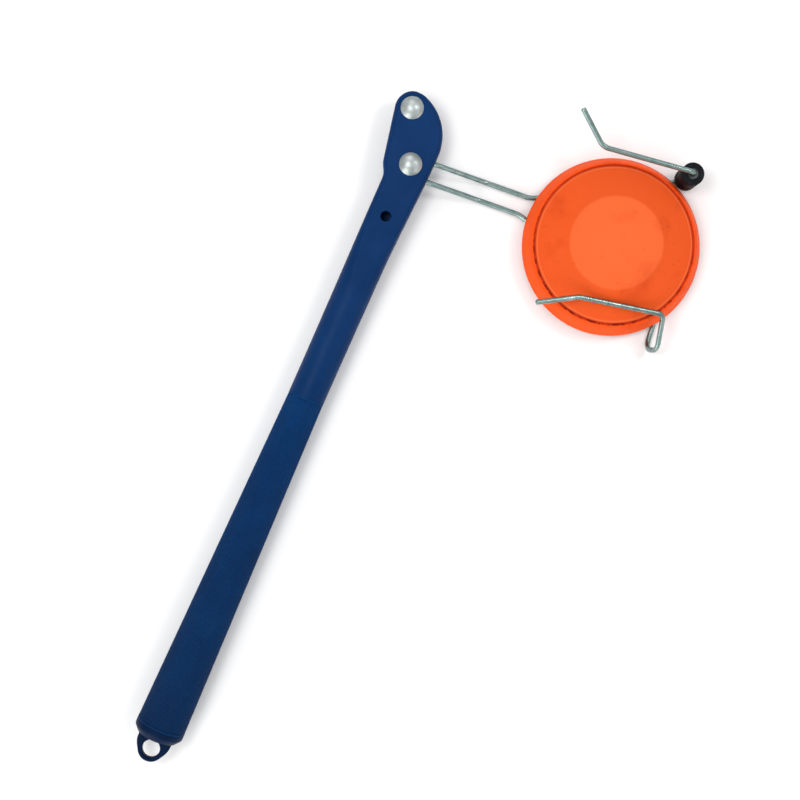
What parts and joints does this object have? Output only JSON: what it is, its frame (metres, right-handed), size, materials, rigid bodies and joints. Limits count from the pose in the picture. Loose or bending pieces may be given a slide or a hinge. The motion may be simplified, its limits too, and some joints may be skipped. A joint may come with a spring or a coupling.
{
  "type": "hand-held clay target thrower",
  "caption": "Hand thrower: long moulded handle with a knurled grip and hanging hole, and a sprung wire clip with a rubber roller that carries a domed clay target.",
  "frame": {"origin": "middle of the hanging hole, on the mid plane of the hanging tab", "axes": "+X up the handle from the butt to the head, +Z the front face with the domed bolt heads and the target's crown, +Y the side away from the target"},
  "size_m": [0.4603, 0.2081, 0.045],
  "materials": {
    "handle_plastic": "navy moulded plastic with a fine satin grain",
    "grip_vinyl": "navy vinyl with a fine diamond knurl",
    "zinc_fastener": "bright zinc plate",
    "spring_wire": "galvanised spring wire with a faint green grey cast",
    "nylon": "natural nylon",
    "roller_rubber": "black rubber",
    "bush_plastic": "black acetal",
    "target_paint": "matt fluorescent orange paint on pressed pitch and limestone"
  },
  "bodies": {
    "handle": {"handle_front": "handle_plastic", "handle_back": "handle_plastic", "grip_skin": "grip_vinyl", "end_plug": "handle_plastic", "pivot_bolt": "zinc_fastener", "head_bolt": "zinc_fastener", "pivot_spacer": "zinc_fastener", "pivot_washer": "zinc_fastener", "head_washer": "zinc_fastener", "pivot_nut": "zinc_fastener", "head_nut": "zinc_fastener", "pivot_nut_insert": "nylon", "head_nut_insert": "nylon"},
    "clip": {"wire_clip": "spring_wire"},
    "roller": {"roller_tyre": "roller_rubber", "roller_bush": "bush_plastic"},
    "target": {"clay_target": "target_paint"}
  },
  "joints": [
    {"name": "clip_angle", "type": "hinge", "parent": "handle", "child": "clip", "pos_m": [0.384, -0.001, 0], "axis": [0, 0, 1], "range_deg": [-10, 10]},
    {"name": "roller_spin", "type": "hinge", "parent": "clip", "child": "roller", "pos_m": [0.44529, -0.15685, 0.003], "axis": [0, 0, 1], "continuous": true},
    {"name": "target_release", "type": "hinge", "parent": "clip", "child": "target", "pos_m": [0.44529, -0.15685, 0.003], "axis": [0, 0, -1], "range_deg": [0, 150]}
  ]
}
